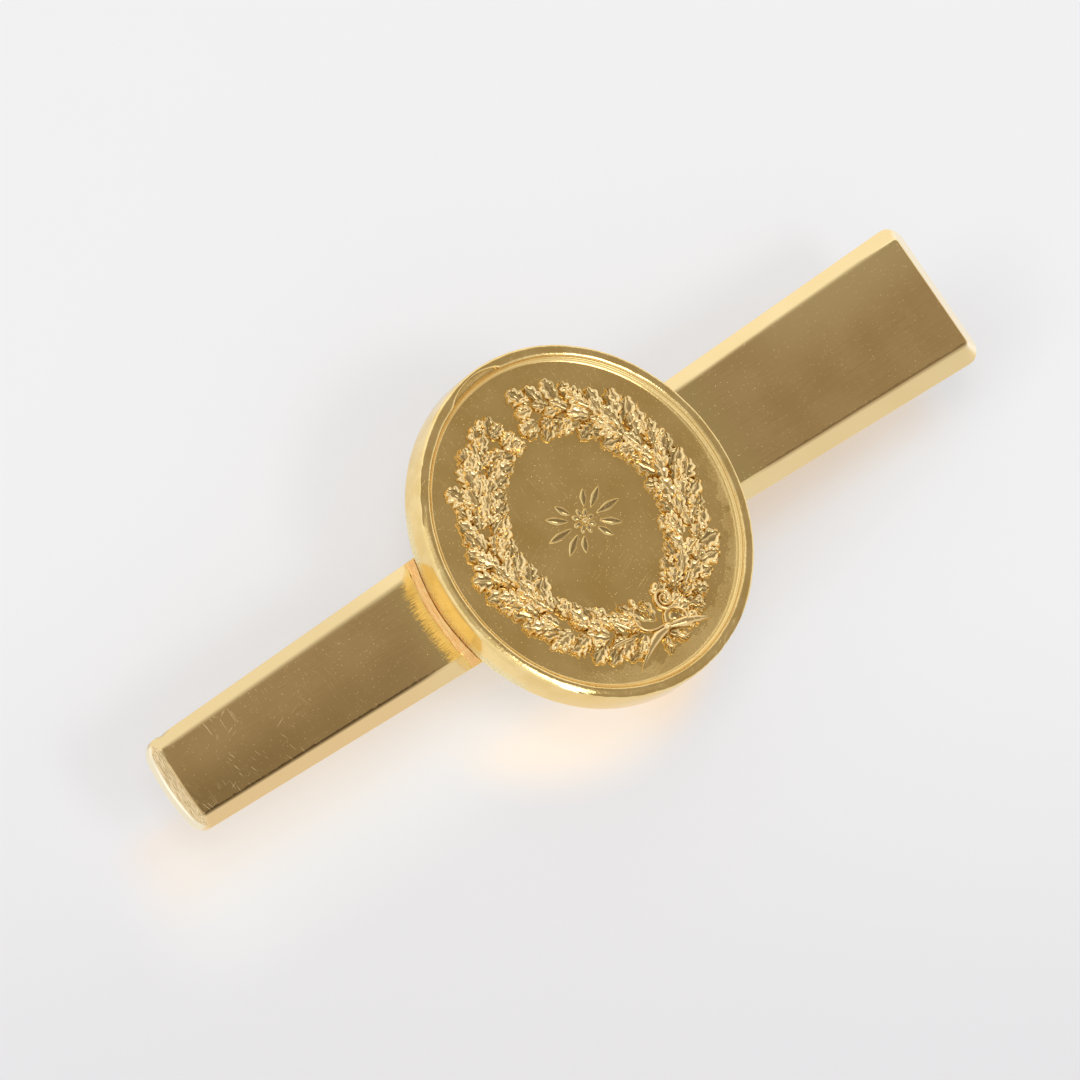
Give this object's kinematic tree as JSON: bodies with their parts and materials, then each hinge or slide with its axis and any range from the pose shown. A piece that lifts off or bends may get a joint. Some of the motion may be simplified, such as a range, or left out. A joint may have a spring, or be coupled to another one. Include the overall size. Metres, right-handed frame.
{
  "type": "tie pin",
  "caption": "Tapered gold bar with bevelled edges, a bezel-set round medal with an oak wreath over its middle, and a sprung toothed clasp hinged underneath.",
  "frame": {"origin": "on the table, under the middle of the bar", "axes": "+X along the bar towards its wide end, +Y towards the top of the medal's wreath, +Z out of the medal's face"},
  "size_m": [0.0598, 0.0202, 0.0087],
  "materials": {
    "bar_gold": "satin gold, brushed along the bar, polished bevels",
    "bezel_gold": "polished gold with small nicks",
    "medal_gold": "struck gold, satin field and bright relief",
    "solder": "coppery gold solder",
    "clasp_gold": "stamped gilt sheet",
    "spring_wire": "drawn spring wire"
  },
  "bodies": {
    "front": {"bar": "bar_gold", "bezel_solder": "solder", "bezel": "bezel_gold", "medal": "medal_gold", "bracket_solder": "solder", "hinge_bracket": "clasp_gold", "hinge_pin": "clasp_gold", "clasp_spring": "spring_wire"},
    "clasp": {"clasp_arm": "clasp_gold"}
  },
  "joints": [
    {"name": "clasp_hinge", "type": "hinge", "parent": "front", "child": "clasp", "pos_m": [0.005, 0, 0.00298], "axis": [0, -1, 0], "range_deg": [0, 12.5], "stiffness_Nm_per_rad": 0.03, "springref_deg": -28.65, "deforming": ["clasp_spring"]}
  ]
}
